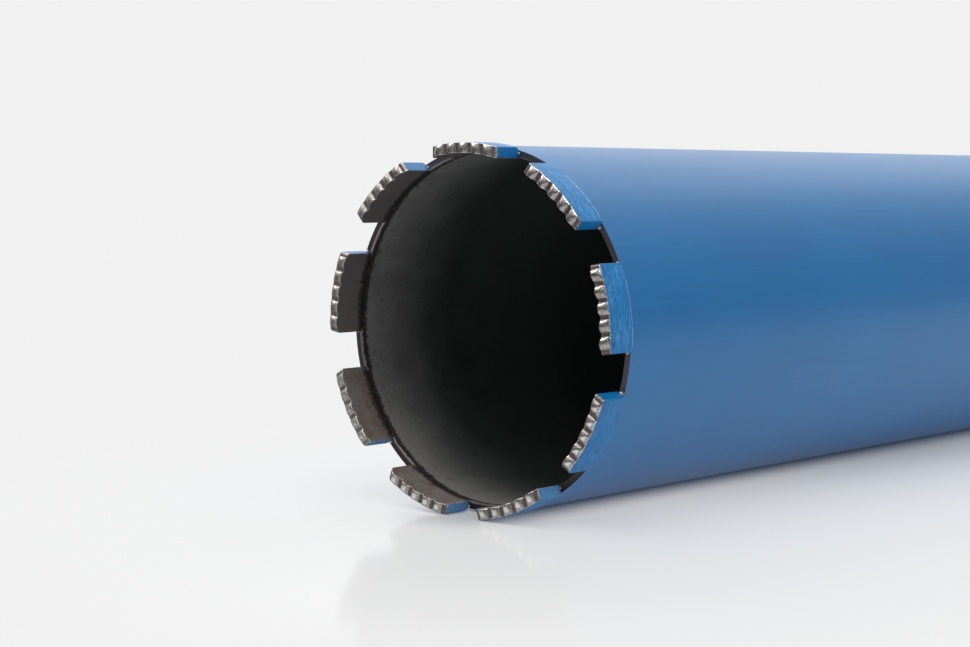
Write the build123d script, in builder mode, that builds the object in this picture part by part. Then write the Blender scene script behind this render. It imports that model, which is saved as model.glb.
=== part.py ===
from build123d import *
from math import cos, radians, sqrt
import os

# Diamond core bit for wet drilling, 102 mm nominal, standing on its crown.
# Z is the bit's axis. z = 0 is the plane of the knob tips, and +Z points to the drive hub.
# All sizes are in millimetres.

# --- driving dimensions ---------------------------------------------------------------

# cutting crown
nominal_diameter = 102.0  # over the outside of the segments: the size of the drilled hole
segment_count = 9
first_segment_angle = -90.0
segment_length = 23.2  # across the two parallel ends
segment_thickness = 3.0
segment_height = 10.5  # from the knob tips to the weld on the tube
segment_end_round = 0.9  # rounding where the crown face turns down into each end

# knobs that let a new crown bite
knob_count = 5
knob_height = 1.0
knob_width = 3.4  # along the segment, at the inner face
knob_outer_drop = 0.85  # a knob is level at the inner face and this much lower at the outer one
knob_end_margin = 0.7  # half the flat between two knobs is added to this at either end
knob_overrun = 0.5  # a knob is made this much longer than the segment is thick, then cut off

# barrel
proud_outside = 0.8  # a segment stands this far out of the tube
wall = 2.0
shoulder_length = 1.0  # axial length of the taper from segment to tube
rim_chamfer = 0.4  # inner edge of the tube, between the segments
working_depth = 450.0  # from the knob tips to the underside of the end plate

# end plate
spigot_length = 5.0  # part of the plate that sits inside the tube
spigot_clearance = 0.05  # radial, between spigot and tube
flange_thickness = 8.0
flange_edge_chamfer = 0.8
weld_groove = 1.6  # leg of the two chamfers that hold the barrel weld
weld_crown = 0.5  # the barrel weld stands this far out of the tube

# drive hub
thread_minor_diameter = 27.8  # internal 1 1/4 inch thread with 7 turns per inch
thread_entry = 2.2  # leg of the countersink at the mouth
hub_spigot_diameter = 37.0
hub_spigot_clearance = 0.05
collar_diameter = 50.0
collar_height = 9.0
hexagon_sides = 6
hexagon_across_flats = 41.0
hexagon_height = 30.0
hexagon_corner_chamfer = 1.6  # height of the cone that takes off the hexagon's corners
hexagon_face_inset = 0.5  # the cone reaches this far inside the flats at the top
fillet_weld_leg = 4.0
fillet_weld_bulge = 0.5

# shaping aids, which leave no size of their own on the part
blank_width = 12.0  # radial width of a segment's blank, before its two faces are cut
cone_clearance = 1.0  # the hexagon's cutting outline stands this far off the collar
edge_tolerance = 0.01  # for picking an edge by its height

# --- sizes that follow ----------------------------------------------------------------

crown_radius = nominal_diameter / 2
crown_bore_radius = crown_radius - segment_thickness
tube_radius = crown_radius - proud_outside
tube_bore_radius = tube_radius - wall
segment_pitch = 360 / segment_count

knob_pitch = (segment_length - 2 * knob_end_margin) / knob_count
knob_radius = (knob_width**2 / 4 + knob_height**2) / (2 * knob_height)
knob_crest_radius = (segment_thickness**2 + knob_outer_drop**2) / (2 * knob_outer_drop)
crown_mid_radius = (crown_radius + crown_bore_radius) / 2
half_thickness = segment_thickness / 2
knob_reach = half_thickness + knob_overrun
crest_run = half_thickness + knob_reach
crest_drop = knob_crest_radius - sqrt(knob_crest_radius**2 - crest_run**2)

tube_end = working_depth + spigot_length
flange_top = tube_end + flange_thickness
collar_top = flange_top + collar_height
hub_top = collar_top + hexagon_height

thread_radius = thread_minor_diameter / 2
hub_spigot_radius = hub_spigot_diameter / 2
collar_radius = collar_diameter / 2
hexagon_flat_radius = hexagon_across_flats / 2
hexagon_corner_radius = hexagon_flat_radius / cos(radians(180 / hexagon_sides))


os.makedirs("parts", exist_ok=True)

# --- tube -----------------------------------------------------------------------------

with BuildPart() as tube:
    with BuildSketch(Plane.XY.offset(segment_height)):
        Circle(tube_radius)
        Circle(tube_bore_radius, mode=Mode.SUBTRACT)
    extrude(amount=tube_end - segment_height)
    rings = tube.edges().filter_by(GeomType.CIRCLE).group_by(Axis.Z)
    chamfer(rings[0].sort_by(SortBy.RADIUS)[0], rim_chamfer)
    chamfer(rings[-1].sort_by(SortBy.RADIUS)[-1], weld_groove)

tube.part.label = "tube"
export_step(tube.part, "parts/tube.step")

# --- diamond segments -----------------------------------------------------------------

for number in range(segment_count):
    angle = first_segment_angle + number * segment_pitch
    base = Plane.XY.rotated((0, 0, angle))

    with BuildPart() as segment:
        # a straight-sided block, rounded where the crown face meets each end
        with BuildSketch(base.offset(knob_height)):
            with Locations((crown_mid_radius, 0)):
                Rectangle(blank_width, segment_length)
        extrude(amount=segment_height - knob_height)
        crown_edges = segment.edges().group_by(Axis.Z)[0]
        fillet(crown_edges.group_by(SortBy.LENGTH)[0], segment_end_round)
        # the knobs: rolls lying across the crown, their crests level at the inner face, where
        # they touch z = 0, and curving down to the outer face
        for step in range(knob_count):
            along = (step - (knob_count - 1) / 2) * knob_pitch
            middle = sqrt(crown_mid_radius**2 - along**2)
            centre = base.from_local_coords((middle, along, knob_radius))
            knob_plane = Plane(origin=centre, x_dir=base.x_dir, z_dir=base.y_dir)
            with BuildSketch(knob_plane):
                with BuildLine():
                    Polyline(
                        (-half_thickness, knob_radius),
                        (-knob_reach, knob_radius),
                        (-knob_reach, 0),
                        (knob_reach, 0),
                        (knob_reach, knob_radius - crest_drop),
                    )
                    TangentArc(
                        (-half_thickness, knob_radius),
                        (knob_reach, knob_radius - crest_drop),
                        tangent=(1, 0),
                    )
                make_face()
            revolve(axis=Axis(knob_plane.origin, knob_plane.x_dir))
        # curved inside and outside to the crown's two diameters
        with BuildSketch(base):
            Circle(crown_radius)
            Circle(crown_bore_radius, mode=Mode.SUBTRACT)
        extrude(amount=segment_height, mode=Mode.INTERSECT)
        # outer edge of the foot tapers down to the tube
        foot = segment.edges().group_by(Axis.Z)[-1].filter_by(GeomType.CIRCLE)
        chamfer(foot.sort_by(SortBy.RADIUS)[-1], shoulder_length, proud_outside)

    segment.part.label = f"segment_{number + 1}"
    export_step(segment.part, f"parts/segment_{number + 1}.step")

# --- end plate ------------------------------------------------------------------------

with BuildPart() as end_plate:
    with BuildSketch(Plane.XY.offset(working_depth)):
        Circle(tube_bore_radius - spigot_clearance)
    extrude(amount=spigot_length)
    with BuildSketch(Plane.XY.offset(tube_end)):
        Circle(tube_radius)
    extrude(amount=flange_thickness)
    flange_rim = end_plate.edges().filter_by(GeomType.CIRCLE).filter_by_position(
        Axis.Z, tube_end - edge_tolerance, tube_end + edge_tolerance
    )
    chamfer(flange_rim.sort_by(SortBy.RADIUS)[-1], weld_groove)
    chamfer(end_plate.edges().group_by(Axis.Z)[-1], flange_edge_chamfer)
    with BuildSketch(Plane.XY.offset(working_depth)):
        Circle(hub_spigot_radius + hub_spigot_clearance)
    extrude(amount=spigot_length + flange_thickness, mode=Mode.SUBTRACT)

end_plate.part.label = "end_plate"
export_step(end_plate.part, "parts/end_plate.step")

# --- barrel weld ----------------------------------------------------------------------

with BuildPart() as barrel_weld:
    with BuildSketch(Plane.XZ):
        with BuildLine():
            Polyline(
                (tube_radius, tube_end - weld_groove),
                (tube_radius - weld_groove, tube_end),
                (tube_radius, tube_end + weld_groove),
            )
            ThreePointArc(
                (tube_radius, tube_end - weld_groove),
                (tube_radius + weld_crown, tube_end),
                (tube_radius, tube_end + weld_groove),
            )
        make_face()
    revolve(axis=Axis.Z)

barrel_weld.part.label = "barrel_weld"
export_step(barrel_weld.part, "parts/barrel_weld.step")

# --- drive hub ------------------------------------------------------------------------

with BuildPart() as drive_hub:
    with BuildSketch(Plane.XY.offset(working_depth)):
        Circle(hub_spigot_radius)
    extrude(amount=spigot_length + flange_thickness)
    with BuildSketch(Plane.XY.offset(flange_top)):
        Circle(collar_radius)
    extrude(amount=collar_height)
    with BuildSketch(Plane.XY.offset(collar_top)):
        RegularPolygon(hexagon_corner_radius, hexagon_sides)
    extrude(amount=hexagon_height)
    # the cone that takes off the hexagon's corners
    with BuildSketch(Plane.XZ):
        with BuildLine():
            Polyline(
                (0, working_depth),
                (collar_radius + cone_clearance, working_depth),
                (collar_radius + cone_clearance, hub_top - hexagon_corner_chamfer),
                (hexagon_corner_radius, hub_top - hexagon_corner_chamfer),
                (hexagon_flat_radius - hexagon_face_inset, hub_top),
                (0, hub_top),
                close=True,
            )
        make_face()
    revolve(axis=Axis.Z, mode=Mode.INTERSECT)
    with BuildSketch(Plane.XY.offset(working_depth)):
        Circle(thread_radius)
    extrude(amount=hub_top - working_depth, mode=Mode.SUBTRACT)
    mouth = drive_hub.edges().group_by(Axis.Z)[-1].filter_by(GeomType.CIRCLE)
    chamfer(mouth.sort_by(SortBy.RADIUS)[0], thread_entry)

drive_hub.part.label = "drive_hub"
export_step(drive_hub.part, "parts/drive_hub.step")

# --- hub weld -------------------------------------------------------------------------

weld_outer = collar_radius + fillet_weld_leg
weld_upper = flange_top + fillet_weld_leg

with BuildPart() as hub_weld:
    with BuildSketch(Plane.XZ):
        with BuildLine():
            Polyline(
                (weld_outer, flange_top),
                (collar_radius, flange_top),
                (collar_radius, weld_upper),
            )
            SagittaArc(
                (collar_radius, weld_upper), (weld_outer, flange_top), -fillet_weld_bulge
            )
        make_face()
    revolve(axis=Axis.Z)

hub_weld.part.label = "hub_weld"
export_step(hub_weld.part, "parts/hub_weld.step")
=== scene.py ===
# %% [markdown]
# # A diamond core bit
#
# A core bit is a steel tube with hard segments welded round one end. It drills a round hole and
# leaves the middle standing as a core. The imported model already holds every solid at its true
# size. This lesson dresses those solids: it gives them smooth surfaces, knobs, weld beads, a
# screw thread, paint and bare metal, then lights them and places a camera.
#
# The bit stands on its crown, so Z is its axis and z = 0 is the plane of the knob tips.

import math

import bmesh
import bpy
import numpy as np
from mathutils import Matrix, Vector


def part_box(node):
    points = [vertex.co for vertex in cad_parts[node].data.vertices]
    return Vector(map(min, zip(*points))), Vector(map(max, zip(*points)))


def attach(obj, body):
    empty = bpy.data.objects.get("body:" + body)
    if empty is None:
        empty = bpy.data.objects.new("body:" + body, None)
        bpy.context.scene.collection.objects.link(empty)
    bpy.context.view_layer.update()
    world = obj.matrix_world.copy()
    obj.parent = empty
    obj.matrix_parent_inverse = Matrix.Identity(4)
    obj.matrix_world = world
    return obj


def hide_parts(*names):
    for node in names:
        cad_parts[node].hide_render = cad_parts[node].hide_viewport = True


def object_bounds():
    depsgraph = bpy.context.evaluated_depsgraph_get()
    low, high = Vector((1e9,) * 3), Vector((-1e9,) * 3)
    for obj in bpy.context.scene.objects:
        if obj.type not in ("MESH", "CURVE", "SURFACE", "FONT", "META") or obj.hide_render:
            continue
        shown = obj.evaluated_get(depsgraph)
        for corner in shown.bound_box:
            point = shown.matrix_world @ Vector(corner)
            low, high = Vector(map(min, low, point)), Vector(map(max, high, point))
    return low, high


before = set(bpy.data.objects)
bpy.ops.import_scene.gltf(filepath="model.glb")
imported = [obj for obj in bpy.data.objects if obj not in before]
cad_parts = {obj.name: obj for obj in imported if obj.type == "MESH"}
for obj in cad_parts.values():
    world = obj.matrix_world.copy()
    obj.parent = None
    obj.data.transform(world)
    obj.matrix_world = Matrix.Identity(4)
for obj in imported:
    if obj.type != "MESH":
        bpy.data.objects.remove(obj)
solid_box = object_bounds()
mm = 0.001
print("solids:", ", ".join(sorted(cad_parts)))

# %% [markdown]
# ## Sizes
#
# Whatever the solids can tell is read from them: the radius of the tube is half the width of its
# box, and the crown's reach is the box of the segment that lies across the front. Only what a box
# can't show, such as a wall or a chamfer, is written down here. All lengths are in metres, so
# each number in millimetres is multiplied by `mm`.

# %% Sizes
tube_low, tube_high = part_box("tube")
crown_low, crown_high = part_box("segment_1")
plate_low, plate_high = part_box("end_plate")

wall = 2.0 * mm
tube_radius = tube_high.x
bore_radius = tube_radius - wall
foot_height = tube_low.z  # where the segments meet the tube
tube_top = tube_high.z
plate_bottom = plate_low.z
flange_top = plate_high.z
hub_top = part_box("drive_hub")[1].z

segment_count = sum(name.startswith("segment_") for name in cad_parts)
segment_half = crown_high.x
segment_thickness = 3.0 * mm
crown_radius = -crown_low.y
crown_bore = crown_radius - segment_thickness

print("tube radius", round(tube_radius / mm, 2), "mm, crown radius", round(crown_radius / mm, 2))
print("segments:", segment_count, "of", round(2 * segment_half / mm, 1), "mm")

# %% [markdown]
# ## Surfaces from two parameters
#
# Every shape below is a grid of points: one parameter runs one way over the surface and a second
# runs the other way. numpy works out the whole grid at once, and neighbouring points become
# four-sided faces. A grid can be joined to itself in either direction, which makes a ring of it.
# Where a row shrinks to a single point, as at the pole of a globe, the doubled points are merged.
# Nearly all the grids are laid out round the Z axis, so `polar` turns a distance from the axis,
# an angle and a height into points.

# %% Grid to mesh
merge_distance = 0.0001 * mm


def add(name, data):
    """A new object in the scene."""
    piece = bpy.data.objects.new(name, data)
    bpy.context.scene.collection.objects.link(piece)
    return piece


def grid_faces(index):
    """Four-sided faces between the neighbours in a grid of corner numbers."""
    around = [index[:-1, :-1], index[:-1, 1:], index[1:, 1:], index[1:, :-1]]
    return np.stack(around, axis=-1).reshape(-1, 4)


def surface(name, points, join_rows=False, join_columns=False, notes=None):
    """A mesh whose corner (i, j) is points[i, j]; notes are numbers kept with each corner."""
    rows, columns = points.shape[:2]
    index = np.arange(rows * columns).reshape(rows, columns)
    if join_rows:
        index = np.vstack([index, index[:1]])
    if join_columns:
        index = np.hstack([index, index[:, :1]])
    faces = grid_faces(index)

    mesh = bpy.data.meshes.new(name)
    mesh.vertices.add(rows * columns)
    mesh.vertices.foreach_set("co", points.astype(np.float32).ravel())
    mesh.loops.add(faces.size)
    mesh.loops.foreach_set("vertex_index", faces.astype(np.int32).ravel())
    mesh.polygons.add(len(faces))
    mesh.polygons.foreach_set("loop_start", np.arange(0, faces.size, 4, dtype=np.int32))
    mesh.update(calc_edges=True)
    for title, values in (notes or {}).items():
        layer = mesh.attributes.new(title, "FLOAT", "POINT")
        layer.data.foreach_set("value", values.astype(np.float32).ravel())

    work = bmesh.new()
    work.from_mesh(mesh)
    bmesh.ops.remove_doubles(work, verts=work.verts, dist=merge_distance)
    bmesh.ops.recalc_face_normals(work, faces=work.faces)
    work.to_mesh(mesh)
    work.free()
    mesh.shade_smooth()
    piece = add(name, mesh)
    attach(piece, "root")
    print(name, len(mesh.polygons), "faces")
    return piece


def polar(radius, angle, height):
    """Points from their distance to the Z axis, their angle round it and their height."""
    parts = np.broadcast_arrays(radius * np.cos(angle), radius * np.sin(angle), height)
    return np.stack(parts, axis=-1)


def circle(steps):
    """Evenly spaced angles of a whole turn, as the rows of a grid."""
    return np.linspace(0, 2 * np.pi, steps, endpoint=False)[:, None]


def turned(name, profile):
    """A lathe shape: the closed profile of (radius, height) carried once round the Z axis."""
    points = polar(profile[None, :, 0], circle(360), profile[None, :, 1])
    return surface(name, points, join_rows=True, join_columns=True)


def eased(corners, radius, longest=12 * mm):
    """A closed outline whose corners are arcs of one radius, with its long sides divided.

    An arc touches both sides of its corner, and takes up less than half of either. Each long
    side gets a point close to either arc, which keeps smooth shading from spreading into the
    flat, and then evenly spaced ones, about as far apart as longest.
    """
    most = 0.4  # of a side that one arc may take up
    steps = 5  # points of an arc
    corners = np.asarray(corners, float)
    arcs = []
    for before, corner, after in zip(np.roll(corners, 1, 0), corners, np.roll(corners, -1, 0)):
        back = (before - corner) / np.linalg.norm(before - corner)
        ahead = (after - corner) / np.linalg.norm(after - corner)
        half = math.acos(np.clip(back @ ahead, -1, 1)) / 2
        reach = min(
            radius / math.tan(half),
            most * np.linalg.norm(before - corner),
            most * np.linalg.norm(after - corner),
        )
        middle = corner + (back + ahead) / np.linalg.norm(back + ahead) * reach / math.cos(half)
        sweep = math.pi - 2 * half
        turn = np.linspace(0, sweep, steps)[:, None]
        start, end = corner + back * reach - middle, corner + ahead * reach - middle
        arcs.append(middle + (np.sin(sweep - turn) * start + np.sin(turn) * end) / math.sin(sweep))

    outline = []
    for arc, following in zip(arcs, arcs[1:] + arcs[:1]):
        outline.append(arc)
        length = np.linalg.norm(following[0] - arc[-1])
        if length > 4 * radius:
            inner = np.linspace(radius, length - radius, max(2, round(length / longest) + 1))
            outline.append(arc[-1] + (following[0] - arc[-1]) * inner[:, None] / length)
    return np.concatenate(outline)

# %% [markdown]
# ## The tube
#
# The barrel is a drawn steel tube. Turning its wall's outline round the axis gives the whole of
# it in one piece. At the crown end the bore has a small chamfer, and at the far end the outside
# is cut away to make room for the weld. Every edge is broken by a tiny arc, because an edge with
# no arc catches no light.

# %% Tube
rim_chamfer = 0.4 * mm
weld_groove = 1.6 * mm
edge_break = 0.12 * mm

tube_wall = eased(
    [
        (tube_radius, foot_height),
        (tube_radius, tube_top - weld_groove),
        (tube_radius - weld_groove, tube_top),
        (bore_radius, tube_top),
        (bore_radius, foot_height + rim_chamfer),
        (bore_radius + rim_chamfer, foot_height),
    ],
    edge_break,
)
tube = turned("barrel_tube", tube_wall)
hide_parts("tube")

# %% [markdown]
# ## The segments
#
# A segment is metal powder and diamond grit, pressed and baked in a mould. Its ends are parallel,
# its two faces follow the drill's circles, and five round knobs stand on its crown so that a new
# bit bites at once.
#
# One parameter runs along the segment. The other runs round its cross-section: up the outer face,
# over the crown, down the inner face and back along the foot. The crown's height is a formula of
# the place on it, so a knob needs no mesh of its own.

# %% Crown height
knob_count = 5
knob_height = 1.0 * mm
knob_width = 3.4 * mm  # along the segment
knob_fall = 0.88  # the share of its height that a knob has lost at the outer face
knob_end_margin = 0.7 * mm
valley_blend = 0.12 * mm
segment_end_round = 0.9 * mm
worn_ends = {(3, 1): 1.7 * mm, (5, 1): 1.5 * mm, (8, -1): 1.5 * mm}  # (segment, end): rounding
inner_wear = [0.15, 0.1, 0.05, 0.55, 0.15, 0.15, 0.5, 0.5, 0.05]  # share of the knobs' height
outward_power, inward_power = 2.6, 3  # how sharply the two losses set in

knob_pitch = 2 * (segment_half - knob_end_margin) / knob_count
knob_radius = (knob_width**2 / 4 + knob_height**2) / (2 * knob_height)
mid_radius = (crown_radius + crown_bore) / 2


def knob_rise(along):
    """Rise of the knobs above the flat, 0 to 1: a row of arcs, softly joined to the flat."""
    place = np.clip(np.round(along / knob_pitch), -(knob_count // 2), knob_count // 2)
    from_knob = along - place * knob_pitch
    arc = np.sqrt(np.clip(knob_radius**2 - from_knob**2, 0, None)) - knob_radius + knob_height
    soft = np.clip(arc + valley_blend, 0, 2 * valley_blend) ** 2 / (4 * valley_blend)
    return np.where(arc > valley_blend, arc, soft) / knob_height


def crown_height(number, along, radius):
    """Height of the crown, from the tips at 0: knobs on a flat, rounded down at both ends.

    A knob loses height with a power of the way out, so it rolls over to a nearly straight outer
    edge, and with a power of the way in, by a little wear that differs between segments.
    """
    way_out = np.clip((radius - crown_bore) / segment_thickness, 0, 1)
    inward_loss = inner_wear[number] * (1 - way_out) ** inward_power
    kept = 1 - knob_fall * way_out**outward_power - inward_loss
    height = knob_height * (1 - knob_rise(along) * kept)
    low, high = (worn_ends.get((number, side), segment_end_round) for side in (-1, 1))
    rounding = np.where(along < 0, low, high)
    past = np.clip(abs(along) - (segment_half - rounding), 0, rounding)
    return height + rounding - np.sqrt(rounding**2 - past**2)


print("knobs:", knob_count, "on each segment,", round(knob_pitch / mm, 2), "mm apart")

# %% [markdown]
# The cross-section is a list of corners of a loop. Each has a radius, a lift above the crown and
# a share of the way from the crown down to the foot. Both faces' upper edges are worn to a small
# arc. At the segment's ends, the loop first draws in along another arc and then shrinks to its
# middle, which closes the shape.

# %% Segments
edge_wear = 0.22 * mm
shoulder = 1.0 * mm
fine_from = 0.86  # past this share of the wall, by the shoulder, the steps are finer
rough_reach = 0.4 * mm  # the powder's roughness ends this far below the crown
grit_depth, grit_wave = 0.014 * mm, 0.5 * mm

quarter = np.linspace(0, np.pi / 2, 5)
wall_share = np.concatenate([np.linspace(0, fine_from, 22)[1:], np.linspace(fine_from, 1, 7)[1:]])
crown_across = np.linspace(crown_radius - edge_wear, crown_bore + edge_wear, 26)[1:-1]
foot_across = np.linspace(0, 1, 6)[1:-1]

# columns of the grid: the radius, the lift and the share at each corner of the loop, through
# the outer wall, its edge, the crown, the inner edge, the inner wall and the foot
columns = [
    (np.full(len(wall_share), crown_radius), edge_wear, wall_share[::-1]),
    (crown_radius - edge_wear * (1 - np.cos(quarter)), edge_wear * (1 - np.sin(quarter)), 0),
    (crown_across, 0, 0),
    (crown_bore + edge_wear * (1 - np.sin(quarter)), edge_wear * (1 - np.cos(quarter)), 0),
    (np.full(len(wall_share), crown_bore), edge_wear, wall_share),
    (crown_bore + foot_across * (tube_radius - crown_bore), 0, 1),
]
columns = [np.broadcast_arrays(*part) for part in columns]
loop_radius, loop_lift, loop_share = (np.concatenate(values) for values in zip(*columns))

# rows of the grid: the place along the segment, how far the loop draws in, and its size
flat_rows, round_rows, edge_rows, cap_rows = 90, 8, 5, 4
flat_half = segment_half - segment_end_round
bend = np.linspace(0, np.pi / 2, round_rows + 1)[1:]
edge_bend = np.linspace(0, np.pi / 2, edge_rows + 1)[1:]
half_along = [
    np.linspace(0, flat_half, flat_rows),
    flat_half + (segment_end_round - edge_wear) * np.sin(bend),
    segment_half - edge_wear * (1 - np.sin(edge_bend)),
    np.full(cap_rows, segment_half),
]
half_draw = [
    np.zeros(flat_rows + round_rows),
    edge_wear * (1 - np.cos(edge_bend)),
    np.full(cap_rows, edge_wear),
]
half_size = [np.ones(flat_rows + round_rows + edge_rows), np.linspace(1, 0, cap_rows + 1)[1:]]


def both_halves(half, sign=1):
    """The rows of a whole segment from those of one half: the other half is its mirror image."""
    half = np.concatenate(half)
    return np.concatenate([sign * half[:0:-1], half])[:, None]


row_along = both_halves(half_along, -1)
row_draw, row_size = both_halves(half_draw), both_halves(half_size)


def segment_angle(number):
    """The angle of a segment's middle; the first one lies across the front, towards -Y."""
    return math.radians(-90 + 360 / segment_count * number)


def segment_points(number, rough):
    """Points of one segment and, for its paint, how far each one is from the paint's edge.

    The height is the crown's own height plus the lift, moved down the wall by the share. The
    radius keeps to the face and drops to the tube's radius over the shoulder.
    """
    crown = crown_height(number, row_along, loop_radius[None, :])
    height = (crown + loop_lift) * (1 - loop_share) + foot_height * loop_share
    near_foot = np.clip((height - (foot_height - shoulder)) / shoulder, 0, 1)
    drop = (crown_radius - tube_radius) * near_foot**2 * (3 - 2 * near_foot)
    outer_face = np.arange(len(loop_radius)) < len(wall_share)
    radius = np.where(outer_face, loop_radius - drop, loop_radius)

    # fine pits and swells of pressed powder on the crown
    on_crown = np.clip(1 - (height - crown) / rough_reach, 0, 1) * (row_size == 1)
    height = height + rough(row_along, radius) * on_crown

    inner, outer = crown_bore + row_draw, radius.max(axis=1, keepdims=True) - row_draw
    radius = np.clip(radius, inner, outer)
    height = np.clip(height, crown + row_draw, foot_height)
    radius = mid_radius + (radius - mid_radius) * row_size
    middle = (foot_height + knob_height) / 2
    height = middle + (height - middle) * row_size

    points = polar(radius, segment_angle(number) + np.arcsin(row_along / radius), height)
    above_crown = height - crown_height(number, row_along, radius)
    from_inner = radius - crown_bore
    from_painted = np.minimum(crown_radius - radius, segment_half - abs(row_along))
    from_painted = np.where(height > foot_height - shoulder, 0, from_painted)
    notes = {
        "paint_depth": (np.minimum(above_crown, from_inner) - from_painted) / mm,
        "crown_depth": (from_inner - above_crown) / mm,
        "knob": knob_rise(row_along) + 0 * radius,
        "along": row_along / mm + 0 * radius,
    }
    return points, notes


def powder(seed, depth, wave, count=60):
    """A rough patch: the sum of many cosine waves with random directions, lengths and phases."""
    random = np.random.default_rng(seed)
    heading = random.uniform(0, np.pi, count)
    rate = 2 * np.pi / (wave * random.uniform(0.6, 2.5, count))
    phase = random.uniform(0, 2 * np.pi, count)

    def height(along, across):
        total = 0
        for turn, k, start in zip(heading, rate, phase):
            total = total + np.cos(k * (along * np.cos(turn) + across * np.sin(turn)) + start)
        return depth * total / math.sqrt(count)

    return height


segments = []
for number in range(segment_count):
    points, notes = segment_points(number, powder(number, grit_depth, grit_wave))
    segment = surface(f"crown_segment_{number + 1}", points, join_columns=True, notes=notes)
    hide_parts(f"segment_{number + 1}")
    segments.append(segment)

# %% [markdown]
# ## Welds at the segments' feet
#
# A laser joins each segment to the tube. It leaves a low seam that fills the step outside and a
# narrow one inside.
#
# A seam is a bowed strip: its cross-section is a half circle pressed flat, and it is carried
# along the foot. Its edges wander a little, as melted metal does.

# %% Segment welds
seam_half = segment_half - 0.15 * mm
seam_wave = 2.2 * mm
other_track = 5 * mm  # far enough away in the same waves to look like other ones
seam_rows, seam_columns = 140, 20


def seam(name, number, base_radius, sign, reach, rise, centre, ragged, seed):
    """A strip on the tube: height and width follow a half ellipse, and both vary along it.

    The angle t runs round the ellipse, so the radius is the base plus rise times sin t and the
    height is the centre plus reach times cos t. Both fade to nothing at the strip's two ends.
    """
    wander = powder(seed, ragged, seam_wave)
    along = seam_half * np.sin(np.linspace(-np.pi / 2, np.pi / 2, seam_rows))[:, None]
    t = circle(seam_columns).T
    fade = np.sqrt(np.clip(1 - (along / seam_half) ** 8, 0, 1))
    swell = np.clip(1 + wander(along, 0), 0.3, 1.8)
    widen = 1 + 0.7 * wander(along, other_track)
    radius = base_radius + sign * rise * swell * fade * np.sin(t)
    height = centre + reach * fade * widen * np.cos(t)
    points = polar(radius, segment_angle(number) + along / tube_radius, height)
    return surface(name, points, join_columns=True)


seams = []
for number in range(segment_count):
    outer = seam(
        f"weld_outside_{number + 1}", number, tube_radius, 1, reach=0.62 * mm, rise=0.2 * mm,
        centre=foot_height + 0.1 * mm, ragged=0.22, seed=100 + number,
    )
    inner = seam(
        f"weld_inside_{number + 1}", number, bore_radius, -1, reach=0.6 * mm, rise=0.18 * mm,
        centre=foot_height + 0.35 * mm, ragged=0.4, seed=200 + number,
    )
    seams.append((outer, inner))

# %% [markdown]
# Where the laser starts and stops, a small lump of metal stays on the rim. Each is a globe of its
# own size, and a few are larger than the rest.

# %% Weld lumps
lump_radii = np.array([0.42, 0.42, 0.34]) * mm
lump_rise = 0.12 * mm  # from the tube's rim towards the crown
past_end = 0.1 * mm
large_lumps = {(1, 1): 1.7, (3, -1): 1.9, (6, -1): 1.5}  # the torch stayed longer here


def lump(name, centre, size, seed):
    """A globe of three different radii, made uneven by a few waves over its two angles."""
    across = np.linspace(0, np.pi, 15)[:, None]
    turn = circle(22).T
    uneven = 1 + powder(seed, 0.16, 1.6)(across, np.cos(turn)) * np.sin(across)
    unit = polar(np.sin(across), turn, np.cos(across))
    return surface(name, centre + unit * uneven[..., None] * size, join_columns=True)


random = np.random.default_rng(31)
lumps = []
for number in range(segment_count):
    for side in (-1, 1):
        along = side * (segment_half + past_end)
        out = bore_radius + random.uniform(0.6, 1.5) * mm
        angle = segment_angle(number) + math.asin(along / out)
        centre = polar(out, angle, foot_height - lump_rise)
        size = lump_radii * random.uniform(0.7, 1.1) * large_lumps.get((number, side), 1.0)
        name = f"weld_lump_{number + 1}_{'a' if side < 0 else 'b'}"
        piece = lump(name, centre, size, 300 + 2 * number + side)
        lumps.append(piece)

# %% [markdown]
# ## The end plate
#
# A turned steel plate closes the tube's far end. Its lower part is a spigot that sits in the tube,
# and its hole takes the hub.

# %% End plate
spigot_radius = bore_radius - 0.05 * mm
hub_hole = 18.55 * mm
flange_chamfer = 0.8 * mm

plate_wall = eased(
    [
        (hub_hole, plate_bottom),
        (spigot_radius, plate_bottom),
        (spigot_radius, tube_top),
        (tube_radius - weld_groove, tube_top),
        (tube_radius, tube_top + weld_groove),
        (tube_radius, flange_top - flange_chamfer),
        (tube_radius - flange_chamfer, flange_top),
        (hub_hole, flange_top),
    ],
    edge_break,
    longest=4 * mm,
)
plate = turned("end_flange", plate_wall)
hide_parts("end_plate")

# %% [markdown]
# ## Welds of the far end
#
# One weld joins the plate to the tube and another the hub to the plate. A torch lays them down in
# overlapping drops, so their surface is a row of low arches that lean along the way it went.

# %% Welds of the far end
collar_radius = 25.0 * mm
fillet_leg = 4.0 * mm


def bead(name, hidden, start, end, bulge, drops, depth, lean, seed):
    """A weld that goes once round: a bowed front on a hidden edge, scalloped by its drops.

    The front is an arc from the joint's start to its end; each drop is an arch of the cosine of
    the angle round the axis, delayed by the place across the weld, so it leans.
    """
    around, across = circle(1080), np.linspace(-1, 1, 13)[None, :]
    wander = powder(seed, 1, 0.35)
    phase = drops * around + lean * across**2 + 0.8 * wander(np.cos(around), np.sin(around))
    arch = depth * (abs(np.cos(phase / 2)) - 1) * (1 - across**2)
    middle, side = np.add(start, end) / 2, np.subtract(end, start) / 2
    normal = np.array([side[1], -side[0]]) / np.linalg.norm(side)
    front = middle + side * across[..., None] + normal * (bulge * (1 - across**2))[..., None]
    front = front + normal * arch[..., None]
    back = np.broadcast_to(hidden, front[:, :1].shape)
    outline = np.concatenate([front, back], axis=1)
    points = polar(outline[..., 0], around, outline[..., 1])
    return surface(name, points, join_rows=True, join_columns=True)


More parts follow.
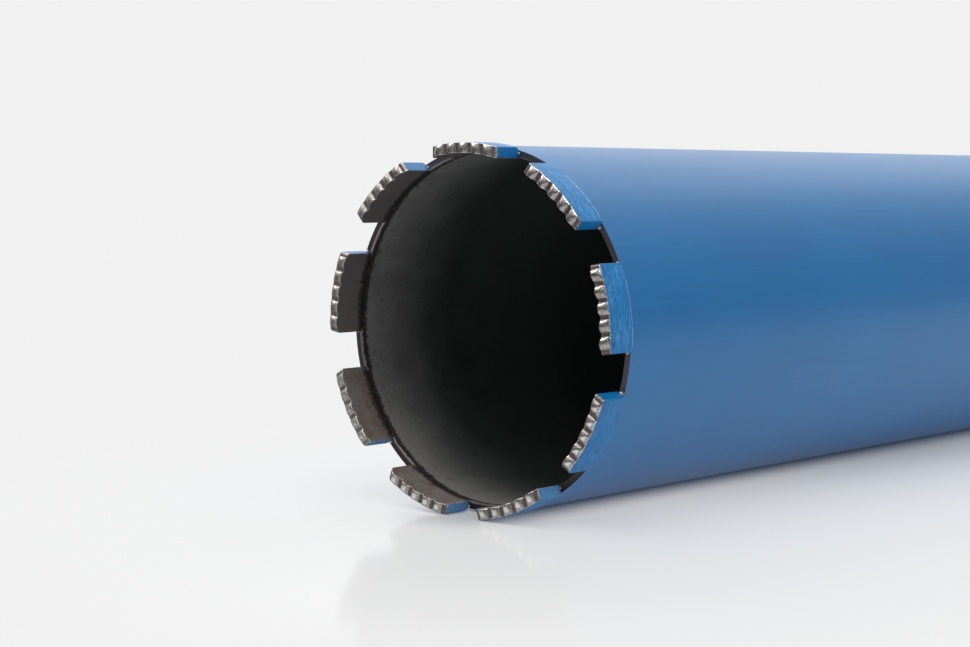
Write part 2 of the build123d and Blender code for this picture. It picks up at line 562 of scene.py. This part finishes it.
barrel_bead = bead(
    "barrel_bead",
    hidden=(tube_radius - weld_groove, tube_top),
    start=(tube_radius, tube_top - weld_groove),
    end=(tube_radius, tube_top + weld_groove),
    bulge=0.5 * mm, drops=170, depth=0.3 * mm, lean=1.4, seed=400,
)
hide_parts("barrel_weld")

hub_bead = bead(
    "hub_bead",
    hidden=(collar_radius, flange_top),
    start=(collar_radius + fillet_leg, flange_top),
    end=(collar_radius, flange_top + fillet_leg),
    bulge=0.5 * mm, drops=84, depth=0.36 * mm, lean=1.8, seed=401,
)
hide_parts("hub_weld")

# %% [markdown]
# ## The drive hub
#
# The hub screws onto the drill's spindle. A spanner grips its hexagon, and the bore holds a coarse
# thread with seven turns to the inch. The whole hub is one closed surface: one parameter goes
# round the axis, and the other goes up the outside and down the bore. The thread is a real
# helix, because its depth depends on the height and on the angle together.

# %% Drive hub
hub_spigot = 18.5 * mm
collar_top = flange_top + 9.0 * mm
collar_foot = flange_top + 0.2 * mm
edge_step = 0.3 * mm
hexagon_half = 20.5 * mm  # half of the width across two flats
hexagon_chamfer = 1.6 * mm
hexagon_inset = 0.5 * mm  # the chamfer's cone reaches this far inside the flats
hexagon_foot, foot_rise = 0.25 * mm, 0.8 * mm
softness = 60  # power of the mean that rounds the hexagon's corners
minor_radius = 13.9 * mm
thread_pitch = 25.4 / 7 * mm
thread_depth = 1.9 * mm
thread_entry = 2.2 * mm
plain_end, run_out_length = 4 * mm, 2 * mm  # the thread ends above the bore's lower end
around = circle(288)


def hexagon(angle):
    """Distance from the axis to a hexagon with softened corners, as a function of the angle.

    It is the softened least of the distances to the six flats: a power mean with a high power.
    """
    turns = np.arange(6) * np.pi / 3
    facing = np.clip(np.cos(angle[..., None] - turns), 0, None)
    return hexagon_half / (facing**softness).sum(axis=-1) ** (1 / softness)


def thread_groove(height, angle):
    """Depth of the internal thread: a V whose place moves up one pitch in each turn."""
    turn = (height / thread_pitch - angle / (2 * np.pi)) % 1
    slope = abs(2 * turn - 1)
    return thread_depth * np.clip(1.25 * slope - 0.12, 0, 1)


# up the outside: the spigot, the collar and then the hexagon
round_part = np.array(
    [
        (hub_spigot, plate_bottom + edge_step),
        (hub_spigot, plate_bottom + 1 * mm),
        (hub_spigot, flange_top - 0.5 * mm),
        (hub_spigot, collar_foot),
        (collar_radius - edge_step, collar_foot),
        (collar_radius, collar_foot + edge_step),
        (collar_radius, flange_top + 5 * mm),
        (collar_radius, collar_top - 2 * edge_step),
        (collar_radius - 0.3 * edge_step, collar_top - 0.3 * edge_step),
        (collar_radius - edge_step, collar_top),
    ]
)
rise = np.concatenate([[0, 0.25, 0.8], np.linspace(2, 27, 12), np.linspace(27.5, 30, 16)]) * mm
in_chamfer = collar_top + rise - (hub_top - hexagon_chamfer)
corner = hexagon_half / math.cos(math.pi / 6)
cone = corner - in_chamfer * (corner - hexagon_half + hexagon_inset) / hexagon_chamfer
sides = np.where(in_chamfer > 0, np.minimum(hexagon(around), cone), hexagon(around))
sides = sides + hexagon_foot * np.clip(1 - rise / foot_rise, 0, None) ** 2
inward = minor_radius + thread_entry - sides[:, -1:]
top_face = sides[:, -1:] + inward * np.array([0.03, 0.5, 0.97])

# down the bore: a countersink, then the thread, then a plain relief and the underside
bore_height = np.linspace(hub_top, plate_bottom, 280)[None, :]
entry = np.clip(thread_entry - (hub_top - bore_height), 0, None)
run_out = np.clip((bore_height - (plate_bottom + plain_end)) / run_out_length, 0, 1)
bore = minor_radius + np.maximum(entry, thread_groove(bore_height, around) * run_out)
underside = np.array([[minor_radius + edge_step, hub_spigot - edge_step]])

parts = [
    (round_part[:, 0], round_part[:, 1]),
    (sides, collar_top + rise),
    (top_face, hub_top),
    (bore, bore_height),
    (underside, plate_bottom),
]
ring = [polar(radius, around, height) for radius, height in parts]
hub = surface("threaded_hub", np.concatenate(ring, axis=1), join_rows=True, join_columns=True)
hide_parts("drive_hub")

# %% [markdown]
# ## Writing finishes as sums
#
# A finish is a web of shader nodes. Most of them only do sums, so one small class lets a finish be
# written as ordinary arithmetic: each operator adds a Math node. Its `node` method adds any other
# kind of node, and the methods after it are short names for the kinds used most.

# %% Shader arithmetic
class Wire:
    """The output of a shader node, with operators that add Math nodes."""

    def __init__(self, tree, source=None):
        self.tree, self.source = tree, source

    def node(self, kind, sockets=None, out=0, **settings):
        """Add a node of a kind: its settings first, then a value or a wire for each socket."""
        made = self.tree.nodes.new("ShaderNode" + kind)
        for title, setting in settings.items():
            setattr(made, title, setting)
        for title, value in (sockets or {}).items():
            if isinstance(value, Wire):
                self.tree.links.new(value.source, made.inputs[title])
            else:
                made.inputs[title].default_value = value
        return Wire(self.tree, made.outputs[out] if made.outputs else None)

    def math(self, operation, *values):
        return self.node("Math", dict(enumerate(values)), operation=operation)

    def __add__(self, other):
        return self.math("ADD", self, other)

    def __sub__(self, other):
        return self.math("SUBTRACT", self, other)

    def __rsub__(self, other):
        return self.math("SUBTRACT", other, self)

    def __mul__(self, other):
        return self.math("MULTIPLY", self, other)

    __radd__, __rmul__ = __add__, __mul__

    def step(self, low, high, at_low=0.0, at_high=1.0):
        """A soft step: at_low below low, at_high above high, and a smooth S between them."""
        sockets = {0: self, 1: low, 2: high, 3: at_low, 4: at_high}
        return self.node("MapRange", sockets, interpolation_type="SMOOTHSTEP")

    def mix(self, first, second):
        """The first colour where this wire is 0, the second where it is 1."""
        return self.node("Mix", {0: self, 6: first, 7: second}, 2, data_type="RGBA")

    def blend(self, first, second):
        """The first shader where this wire is 0, the second where it is 1."""
        return self.node("MixShader", {0: self, 1: first, 2: second})

    def noise(self, scale, detail, roughness):
        """Noise from 0 to 1, taken at the place that this wire gives."""
        sockets = {"Vector": self, "Scale": scale, "Detail": detail, "Roughness": roughness}
        return self.node("TexNoise", sockets)

    def stretched(self, *factors):
        """This place with each of its three parts multiplied, which draws a pattern out."""
        return self.node("VectorMath", {0: self, 1: factors}, operation="MULTIPLY")

    def bump(self):
        """Relief from this height in millimetres."""
        return self.node("Bump", {"Height": self, "Distance": mm})

    def paths(self, *titles):
        """Facts about the path of the light, such as the kind of ray and its length."""
        path = self.node("LightPath").source.node
        return [Wire(self.tree, path.outputs[title]) for title in titles]


def finish(name):
    """A new material: gives it, a wire to start from, and the place on the object in mm.

    The place comes whole, and as its three parts with the distance to the axis.
    """
    material = bpy.data.materials.new(name)
    material.use_nodes = True
    tree = material.node_tree
    tree.nodes.clear()
    start = Wire(tree)
    place = start.node("TexCoord", out="Object").stretched(1 / mm, 1 / mm, 1 / mm)
    parts = start.node("SeparateXYZ", {0: place}).source.node
    x, y, z = (Wire(tree, socket) for socket in parts.outputs)
    radius = start.math("SQRT", x * x + y * y)
    return material, start, place, (x, y, z, radius)


def close(start, **sockets):
    """End a finish: one Principled shader with the given sockets goes to the output."""
    titles = {title.replace("_", " "): value for title, value in sockets.items()}
    shader = start.node("BsdfPrincipled", titles)
    start.node("OutputMaterial", {"Surface": shader})


def rgb(red, green, blue):
    """A colour from the numbers 0 to 255 that a paint program shows."""
    def linear(value):
        value = value / 255
        return value / 12.92 if value <= 0.04045 else ((value + 0.055) / 1.055) ** 2.4
    return (linear(red), linear(green), linear(blue), 1.0)


def give(material, pieces):
    """Put a material on pieces."""
    for piece in pieces:
        piece.data.materials.append(material)
    print(material.name, "on", ", ".join(piece.name for piece in pieces))

# %% [markdown]
# ## Satin blue paint
#
# The barrel is sprayed with satin paint. Such paint has a faint orange peel, slow changes of shade
# where it is thicker, and long, very faint marks along the drawn tube below it. The same paint
# goes on the tube, the welds, the plate and the segments' outside, so one function writes it.

# %% Paint
paint_colour = rgb(6, 118, 182)
paint_deep = rgb(4, 106, 168)


def paint_coat(place):
    """Colour, roughness and relief in mm of the paint, from the place in mm."""
    cloud = place.noise(0.02, 3.0, 0.6)
    drawn = place.stretched(0.9, 0.9, 0.012).noise(1.0, 2.0, 0.6)
    speck = place.noise(3.2, 2.0, 0.6)
    shade = cloud.step(0.25, 0.75) * 0.55 + drawn.step(0.3, 0.7) * 0.3 + speck * 0.15
    colour = shade.mix(paint_deep, paint_colour)
    roughness = 0.36 + (cloud - 0.5) * 0.08 + (speck - 0.5) * 0.1
    relief = place.noise(0.9, 2.0, 0.5) * 0.012 + speck * 0.003
    return colour, roughness, relief


print("paint, as linear red, green and blue:", [round(v, 3) for v in paint_colour[:3]])

# %% [markdown]
# ## The tube's three skins
#
# The tube is painted outside, bare at its rim, and dark with mill scale inside. Its place tells
# which: the distance from the axis parts outside from inside, and the height above the rim gives
# the edge of the paint, which is chipped. Just inside the rim, welding has left a dark band with
# brown and blue-green tints. The bore's colour also carries painted light and shade: paler by the
# rim, most of all on the +Y side, painted darker a few centimetres in, and paler again further in.

# %% Tube finish
rim = foot_height / mm
radius_out, radius_in = tube_radius / mm, bore_radius / mm

material, start, place, (x, y, z, radius) = finish("blue_paint_dark_bore")
colour, roughness, relief = paint_coat(place)

grain = place.noise(5.0, 3.0, 0.65)
chips = place.noise(1.1, 3.0, 0.7)
above_rim = z - rim
edge = above_rim + (radius - radius_out) - chips.step(0.5, 0.72) * 0.45
paint = edge.step(-0.05, 0.04) * radius.step(radius_out - 1.3, radius_out - 0.7)

steel = grain.step(0.3, 0.7).mix(rgb(84, 79, 87), rgb(122, 115, 122))
chamfer = radius.step(radius_in + 0.5, radius_in + 0.35) * above_rim.step(0.6, 0.3)
steel = chamfer.mix(steel, rgb(134, 128, 126))
# the bare rim is darker and browner towards +Y, the side that lies on the floor
steel = (y.step(18.0, 42.0) * 0.8).mix(steel, rgb(58, 46, 42))

bore = radius.step(radius_in + 0.12, radius_in + 0.02)
cloud, mottle = place.noise(0.11, 4.0, 0.6), place.noise(1.4, 4.0, 0.75)
mill_scale = (cloud * 0.35 + mottle * 0.4 + grain * 0.25).step(0.3, 0.7)
dark = mill_scale.mix(rgb(116, 115, 115), rgb(162, 160, 158))
painted_shade_scale = mill_scale.mix(rgb(48, 58, 55), rgb(78, 88, 84))
# painted light: near the rim, the bore's wall on the +Y side is painted paler
dark = (y.step(12.0, 42.0) * above_rim.step(22.0, 4.0) * 0.4).mix(dark, rgb(196, 192, 188))
# painted shade: from the rim to about 42 mm in, the bore is painted darker
dark = above_rim.step(-3.0, 42.0).mix(dark, painted_shade_scale)
# painted light: from about 26 mm in, the bore is painted paler again, most beyond 90 mm
painted_light_far_in = above_rim.step(90.0, 170.0).mix(rgb(98, 109, 105), rgb(142, 153, 149))
dark = (above_rim.step(26.0, 82.0) * 0.9).mix(dark, painted_light_far_in)
rust = place.noise(0.35, 4.0, 0.7).step(0.56, 0.7) * above_rim.step(16.0, 2.0)
dark = (rust * 0.75).mix(dark, rgb(98, 66, 46))

wavy = above_rim + (place.noise(0.6, 4.0, 0.75) - 0.5) * 3.4
band = wavy.step(0.4, 0.9) * wavy.step(3.0, 1.9)
tint = place.noise(0.8, 3.0, 0.7)
band_colour = tint.step(0.5, 0.62).mix(rgb(26, 24, 25), rgb(84, 54, 38))
band_colour = tint.step(0.46, 0.38).mix(band_colour, rgb(22, 62, 62))
dark = (band * 0.9).mix(dark, band_colour)

bare = bore.mix(steel, dark)
colour = paint.mix(bare, colour)
metal = (1 - paint) * (0.85 - bore * 0.45)
bare_rough = 0.4 + bore * 0.16 + (grain - 0.5) * 0.16
rough = bare_rough + paint * (roughness - bare_rough)
bare_relief = grain * 0.012
height = bare_relief + paint * (relief + 0.05 - bare_relief)
close(
    start,
    Base_Color=colour,
    Metallic=metal,
    Roughness=rough,
    Coat_Weight=paint * 0.12,
    Coat_Roughness=0.35,
    Normal=height.bump(),
)
give(material, [tube])

# %% [markdown]
# ## The segments' finish
#
# Each corner of a segment's mesh carries two distances: how far it is inside the painted skin, and
# how far inside the bare crown. With a little noise added, the sign of each one draws the line
# where the paint has come off. The corners also carry the rise of the knobs and the place along
# the segment, because grinding has scored the outer face along its length.

# %% Segment finish
material, start, place, (x, y, z, radius) = finish("painted_segment_bare_crown")
colour, roughness, relief = paint_coat(place)
paint_depth, crown_depth, knob, along = (
    start.node("Attribute", out="Fac", attribute_name=title)
    for title in ("paint_depth", "crown_depth", "knob", "along")
)
grain = place.noise(4.5, 4.0, 0.7)
chips = place.noise(1.6, 3.0, 0.7)
paint = (paint_depth - chips.step(0.5, 0.66) * 0.55 - 0.04).step(-0.05, 0.05)
crown = (crown_depth + (grain - 0.5) * 0.2).step(-0.1, 0.1)

# scores of the grinding wheel: short, a fraction of a millimetre wide, and denser in places
drawn_out = {0: along * 0.42, 1: z * 4.6 + along * 0.5, 2: radius * 0.5}
scores = start.node("CombineXYZ", drawn_out).noise(1.0, 3.0, 0.7)
patches = place.noise(0.16, 2.0, 0.5).step(0.35, 0.6, 0.35, 1.0)
on_face = radius.step(crown_radius / mm - 0.35, crown_radius / mm - 0.1) * patches
cut = scores.step(0.48, 0.4) * on_face * z.step(2.0, 9.5, 1.0, 0.45)
colour = (on_face * 0.4).mix(colour, rgb(24, 148, 222))
colour = (cut * 0.95).mix(colour, rgb(0, 50, 104))
thin = scores.step(0.55, 0.64) * on_face
colour = (thin * 0.6).mix(colour, rgb(128, 188, 236))
end_face = start.math("ABSOLUTE", along).step(segment_half / mm - 0.3, segment_half / mm - 0.1)
painted_sheen_ends = y.step(26.0, 40.0) + y.step(-20.0, -32.0) * x.step(-10.0, -22.0)  # painted sheen: these ends are painted paler
colour = (end_face * painted_sheen_ends * 0.3).mix(colour, rgb(150, 190, 225))

# the crown: bare on the knobs; in the valleys, stain and painted shade, less on the top segment
# and on the left; worn bright along its edges
valley = knob.step(0.45, 0.05) * y.step(-47.0, -40.0, 0.45, 1.0) * x.step(-40.0, -20.0, 0.5, 1.0)
grit = place.noise(1.9, 4.0, 0.8)
grit_shade = grit.step(0.34, 0.66)
bright = grit_shade.mix(rgb(134, 128, 124), rgb(196, 190, 186))
valley_stain_and_shade = grit_shade.mix(rgb(88, 80, 79), rgb(134, 124, 122))
crown_colour = valley.mix(bright, valley_stain_and_shade)
# painted highlight: the tops of the knobs are painted near white
crest = knob.step(0.78, 0.96) * radius.step(48.5, 49.1) * radius.step(50.5, 49.9)
crest = crest * y.step(9.0, 20.0)  # painted highlight only on the segments towards +Y
crown_colour = (crest * 0.85).mix(crown_colour, rgb(242, 239, 234))
soft = x.step(-18.0, -40.0)  # on this side the grit is worn smoother and duller
worn_edge = crown_depth.step(-0.35, -0.1) * crown_depth.step(0.4, 0.12) * grit.step(0.46, 0.56)
worn_edge = worn_edge * (1 - soft * 0.55)
crown_colour = worn_edge.mix(crown_colour, rgb(236, 232, 227))

# the inner face: grey oxide with rust here and there
rust = place.noise(0.16, 4.0, 0.7).step(0.42, 0.62) * y.step(-20.0, 40.0, 0.1, 1.0)
oxide = grain.step(0.25, 0.75).mix(rgb(90, 87, 86), rgb(133, 128, 126))
# painted light: the inner faces of the segments towards +Y are painted paler
oxide = (y.step(0.0, 22.0) * 0.35).mix(oxide, rgb(172, 162, 155))
inner_colour = (rust * 0.7).mix(oxide, rgb(122, 92, 72))
specks = place.noise(1.3, 2.0, 0.6).step(0.66, 0.72) * y.step(0.0, 36.0)
inner_colour = (specks * 0.6).mix(inner_colour, rgb(196, 182, 172))
ragged = place.noise(0.75, 4.0, 0.75)
near_weld = (z + (ragged - 0.5) * 4.5).step(rim - 1.9, rim - 0.7)
inner_colour = (near_weld * 0.8).mix(inner_colour, rgb(42, 38, 38))

bare = crown.mix(inner_colour, crown_colour)
border = paint_depth.step(-0.24, -0.08) * paint_depth.step(0.14, 0.02) * chips.step(0.45, 0.6)
border = border * z.step(rim - 1.2, rim - 2.0)
bare = border.mix(bare, rgb(222, 222, 224))
colour = paint.mix(bare, colour)
metal = (1 - paint) * (0.45 + crown * 0.5)
bare_rough = 0.55 - crown * 0.28 + crown * valley * 0.18 - crest * 0.08 + (grit - 0.5) * 0.16
bare_rough = bare_rough + crown * soft * 0.16
rough = bare_rough + paint * (roughness - bare_rough)
bare_relief = grain * 0.013 + grit * crown * (valley * 0.03 + 0.01)
coat_relief = relief + 0.04 - cut * 0.03 + thin * 0.015
height = bare_relief + paint * (coat_relief - bare_relief)
close(
    start,
    Base_Color=colour,
    Metallic=metal,
    Roughness=rough,
    Specular_IOR_Level=0.35,
    Normal=height.bump(),
)
give(material, segments)

# %% [markdown]
# ## Painted welds and plate
#
# The outside seams, the far end's welds and the plate are under the paint, which has worn off the
# crests of the seams. On the seams towards -Y, those crests are near white: bare metal with a
# painted highlight.

# %% Painted welds
material, start, place, (x, y, z, _) = finish("blue_paint_on_weld")
colour, roughness, relief = paint_coat(place)
grain = place.noise(3.0, 3.0, 0.7)
worn = place.noise(0.7, 3.0, 0.7)
crest = z.step(rim + 0.2, rim + 0.45) * z.step(rim + 1.0, rim + 0.66)
# painted highlight with bare metal: the worn crests are near white only on the seams towards -Y
bare = crest * worn.step(0.4, 0.52) * z.step(rim + 3.0, rim + 2.0) * y.step(16.0, 4.0)
steel = grain.step(0.3, 0.7).mix(rgb(176, 184, 196), rgb(232, 236, 242))
close(
    start,
    Base_Color=bare.mix(colour, steel),
    Metallic=bare * 0.85,
    Roughness=roughness + bare * 0.02,
    Normal=(relief + grain * 0.01).bump(),
)
give(material, [outer for outer, inner in seams] + [barrel_bead, hub_bead, plate])

# %% [markdown]
# ## Bare welds
#
# The seams inside are burnt dark, with brown and blue-green tints. The lumps are bright metal.

# %% Bare welds
material, start, place, _ = finish("scaled_weld")
grain = place.noise(2.4, 4.0, 0.7)
tint = place.noise(0.6, 3.0, 0.7)
colour = grain.step(0.3, 0.75).mix(rgb(34, 32, 33), rgb(78, 74, 72))
colour = (tint.step(0.52, 0.66) * 0.8).mix(colour, rgb(92, 58, 40))
colour = (tint.step(0.44, 0.34) * 0.7).mix(colour, rgb(30, 62, 64))
close(
    start,
    Base_Color=colour,
    Metallic=0.6,
    Roughness=0.42 + grain * 0.2,
    Normal=(grain * 0.05).bump(),
)
give(material, [inner for outer, inner in seams])

material, start, place, _ = finish("bright_weld_metal")
grain = place.noise(3.5, 3.0, 0.7)
close(
    start,
    Base_Color=grain.step(0.35, 0.65).mix(rgb(146, 136, 126), rgb(236, 230, 222)),
    Metallic=0.9,
    Roughness=0.3 + grain * 0.2,
    Normal=(grain * 0.05).bump(),
)
give(material, lumps)

# %% [markdown]
# ## Turned steel
#
# The hub's lathe lines run round the axis, so they are noise that is squeezed along Z and hardly
# changes across it. On its end face they are rings instead.

# %% Turned steel
material, start, place, (_, _, z, radius) = finish("turned_steel")
lines = place.stretched(0.03, 0.03, 7.0).noise(1.0, 3.0, 0.7)
rings = start.node("CombineXYZ", {0: radius * 5.0}).noise(1.0, 3.0, 0.7)
end_face = z.step(hub_top / mm - 0.12, hub_top / mm - 0.03)
tool_marks = lines + end_face * (rings - lines)
grain = place.noise(4.0, 3.0, 0.6)
oil = place.noise(0.06, 4.0, 0.65)
colour = tool_marks.step(0.3, 0.7).mix(rgb(136, 136, 138), rgb(196, 195, 194))
colour = (oil.step(0.5, 0.72) * 0.35).mix(colour, rgb(112, 104, 96))
colour = (radius.step(16.2, 15.4) * 0.35).mix(colour, rgb(92, 90, 90))  # darker in the bore
close(
    start,
    Base_Color=colour,
    Metallic=0.95,
    Roughness=0.3 + (grain - 0.5) * 0.16 + oil * 0.12,
    Normal=(tool_marks * 0.02 + grain * 0.004).bump(),
)
give(material, [hub])

# %% [markdown]
# ## Floor and background
#
# For the picture the bit lies on its side, so the floor is upright in the bit's own frame: it
# touches the segments with the highest Y. Both this floor and the one below the standing bit are
# seen from one side only. Their backs, and their far reaches, let the pale background through.

# %% Floors
pale = rgb(241, 241, 241)
ring_middle = 49.5  # mm, radius of the ring on which the standing bit touches the floor
mirror_glow = 0.42  # share of the floor's glow that mirrors see
gap_light = 0.1  # share of the glow for rays from very near


def stage_piece(name, corners, faces):
    """A part of the room, from its corners and the numbers of each face's corners."""
    mesh = bpy.data.meshes.new(name)
    mesh.from_pydata(corners, [], faces)
    piece = add(name, mesh)
    return piece


def floor_finish(name, glow, shine, lying):
    """A pale floor: part glow, part lit, part mirror. Its back and its far reach are clear.

    The camera and mirrors see the glow, and other rays see only the lit part, so the floor
    lights the bit as a matt one does. Away from the bit, all that is seen is the glow. Where the
    bit touches the floor, there is none: along a line if it lies, and on a ring if it stands.
    Rays that reach the floor from very near get a little light, so the gap isn't black.
    """
    material, start, place, (x, _, z, radius) = finish(name)
    camera_ray, glossy_ray, length = start.paths("Is Camera Ray", "Is Glossy Ray", "Ray Length")
    below = start.math("MINIMUM", z, 0.0)
    reach = start.math("SQRT", x * x + below * below) if lying else radius
    touch = reach if lying else start.math("ABSOLUTE", radius - ring_middle)

    glowing = start.node("Emission", {"Color": pale})
    lit = start.node("Emission", {"Color": pale, "Strength": 1.05})
    black = start.node("Emission", {"Strength": 0.0})
    matt = start.node("BsdfDiffuse", {"Color": rgb(242, 244, 247)})
    mirror = start.node("BsdfAnisotropic", {"Color": (1, 1, 1, 1), "Roughness": 0.1})
    clear = start.node("BsdfTransparent")

    both = (camera_ray + glossy_ray * mirror_glow) * touch.step(2.0, 24.0)
    both = both * z.step(40.0, 220.0, glow, glow * 0.55)
    both = both + length.step(0.02, 0.006) * (1 - camera_ray) * gap_light
    slant = start.node("LayerWeight", {"Blend": 0.5}, "Facing")
    near = (slant.step(0.45, 0.75) * shine).blend(both.blend(matt, lit), mirror)
    face = (camera_ray * reach.step(50.0, 200.0)).blend(near, glowing)

    # mirrors see a dark floor on the left and under the crown
    under = z.step(0.0, 14.0) * x.step(12.0, -30.0)
    left = start.math("MAXIMUM", x.step(-20.0, -130.0), under)
    face = (glossy_ray * left * 0.75).blend(face, black)
    away = start.node("VectorMath", {0: place}, "Value", operation="LENGTH")
    behind = start.node("NewGeometry", out="Backfacing")
    fade = start.math("MAXIMUM", behind, away.step(1500.0, 3500.0))
    start.node("OutputMaterial", {"Surface": fade.blend(face, clear)})
    return material


far = 4.0  # metres, half of a floor's width
gap = 0.02 * mm
square = [(-far, -far), (far, -far), (far, far), (-far, far)]

lying_y = solid_box[1][1] + gap
lying_corners = [(x, lying_y, z) for x, z in square]
lying_floor = stage_piece("lying_floor", lying_corners, [(0, 1, 2, 3)])
give(floor_finish("lying_floor_white", glow=0.64, shine=0.16, lying=True), [lying_floor])

standing_z = solid_box[0][2] - gap
standing_corners = [(x, y, standing_z) for x, y in square]
standing_floor = stage_piece("standing_floor", standing_corners, [(0, 1, 2, 3)])
give(floor_finish("standing_floor_white", glow=0.6, shine=0.05, lying=False), [standing_floor])
for ray in ("shadow", "diffuse", "glossy", "transmission"):
    setattr(standing_floor, "visible_" + ray, False)
print("floors at y =", round(lying_y / mm, 2), "mm and z =", round(standing_z / mm, 2), "mm")

# %% [markdown]
# ## Light
#
# Broad, even light comes from above the lying bit, and the room is pale. Two round lamps near the
# camera give the knobs their bright points. They are linked to the segments and lumps alone, so
# that neither the tube nor the floor mirrors them.

# %% Light
world = bpy.data.worlds.new("pale_room")
bpy.context.scene.world = world
world.use_nodes = True
world.node_tree.nodes.clear()
start = Wire(world.node_tree)
room_light = 0.5  # share of the background's light that falls on matt things
rays = start.paths("Is Camera Ray", "Is Glossy Ray", "Is Transmission Ray")
seen = start.math("MAXIMUM", start.math("MAXIMUM", rays[0], rays[1]), rays[2])
strength = seen * (1 - room_light) + room_light
sky = start.node("Background", {"Color": pale, "Strength": strength})
start.node("OutputWorld", {"Surface": sky})


def soft_sun(name, towards, strength, spread):
    """Even light that travels towards a direction, from spread degrees of the sky."""
    lamp = bpy.data.lights.new(name, "SUN")
    lamp.energy, lamp.angle = strength, math.radians(spread)
    add(name, lamp).rotation_euler = Vector(towards).to_track_quat("-Z", "Y").to_euler()


soft_sun("overhead", (-0.15, 1.0, 0.35), strength=1.9, spread=75)
soft_sun("behind", (0.6, 0.8, -0.7), strength=0.3, spread=60)

crown_pieces = bpy.data.collections.new("crown_pieces")
for piece in segments + lumps:
    crown_pieces.objects.link(piece)


def softbox(name, direction, distance, size, power):
    """A round lamp for the crown alone, at a distance in a direction from the origin."""
    lamp = bpy.data.lights.new(name, "AREA")
    lamp.shape, lamp.size, lamp.energy = "DISK", size, power
    piece = add(name, lamp)
    piece.location = Vector(direction).normalized() * distance
    piece.rotation_euler = (-piece.location).to_track_quat("-Z", "Y").to_euler()
    piece.visible_camera = False
    piece.light_linking.receiver_collection = crown_pieces


softbox("crown_lamp_left", (-0.66, -0.67, -0.33), distance=1.45, size=0.3, power=5.0)
softbox("crown_lamp_right", (0.35, -0.62, -0.69), distance=1.3, size=0.2, power=2.7)
print("lamps:", ", ".join(lamp.name for lamp in bpy.data.lights))

# %% [markdown]
# ## Dark curtain
#
# A dark curtain stands round the camera's side, as in a product studio. It isn't seen, but the
# paint and the knobs mirror it, and that dark line is what makes round metal look round.

# %% Dark curtain
def curtain(name, start_angle, end_angle, distance, low, high):
    """An unseen dark wall: part of a cylinder about the vertical of the lying bit, here -Y.

    The angle runs round that vertical, from +X towards +Z, and the height runs from low to high.
    """
    turn = np.radians(np.linspace(start_angle, end_angle, 60))[:, None]
    height = np.linspace(low, high, 8)[None, :]
    points = polar(distance, turn, height)[..., [0, 2, 1]] * [1, -1, 1]  # the height along -Y
    corners = points.reshape(-1, 3)
    faces = grid_faces(np.arange(len(corners)).reshape(points.shape[:2]))
    piece = stage_piece(name, corners.tolist(), faces.tolist())
    material, start, _, (x, y, z, _) = finish(name + "_felt")
    side = start.math("ARCTAN2", z, x).step(-1.0, -0.2)
    glow = y.step(-1900.0, 0.0, 0.85, 0.06 + side * 0.24)
    felt = start.node("Emission", {"Color": (1, 1, 1, 1), "Strength": glow})
    start.node("OutputMaterial", {"Surface": felt})
    give(material, [piece])
    piece.visible_camera = False


curtain("side_curtain", start_angle=-170, end_angle=85, distance=1.6, low=-0.05, high=1.9)

# %% [markdown]
# ## Camera
#
# The camera lies low beside the crown and looks up the tube from one side, with a moderately long
# lens. Two of its axes are written out, because the bit lies on its side in the picture: up there
# is towards -Y here.

# %% Camera
lens = bpy.data.cameras.new("camera")
lens.lens = 75.18
lens.sensor_width = 36.0
lens.clip_start, lens.clip_end = 0.01, 50.0
stand = Vector((0.36709, -0.04346, -0.4014))
forward = Vector((-0.66350853, 0.0755282, 0.74434664))
upward = Vector((-0.05590277, -0.99711513, 0.05134482))
camera = add("camera", lens)
aim = Matrix((forward.cross(upward), upward, -forward)).transposed().to_4x4()
camera.matrix_world = Matrix.Translation(stand) @ aim
bpy.context.scene.camera = camera
bpy.context.scene.view_settings.view_transform = "Standard"
print("camera at", [round(v, 3) for v in camera.location])

# %% [markdown]
# ## Last measure
#
# This prints the box of the solids, in millimetres.

# %% Finish
print("solids", [[round(v / mm, 2) for v in corner] for corner in solid_box])
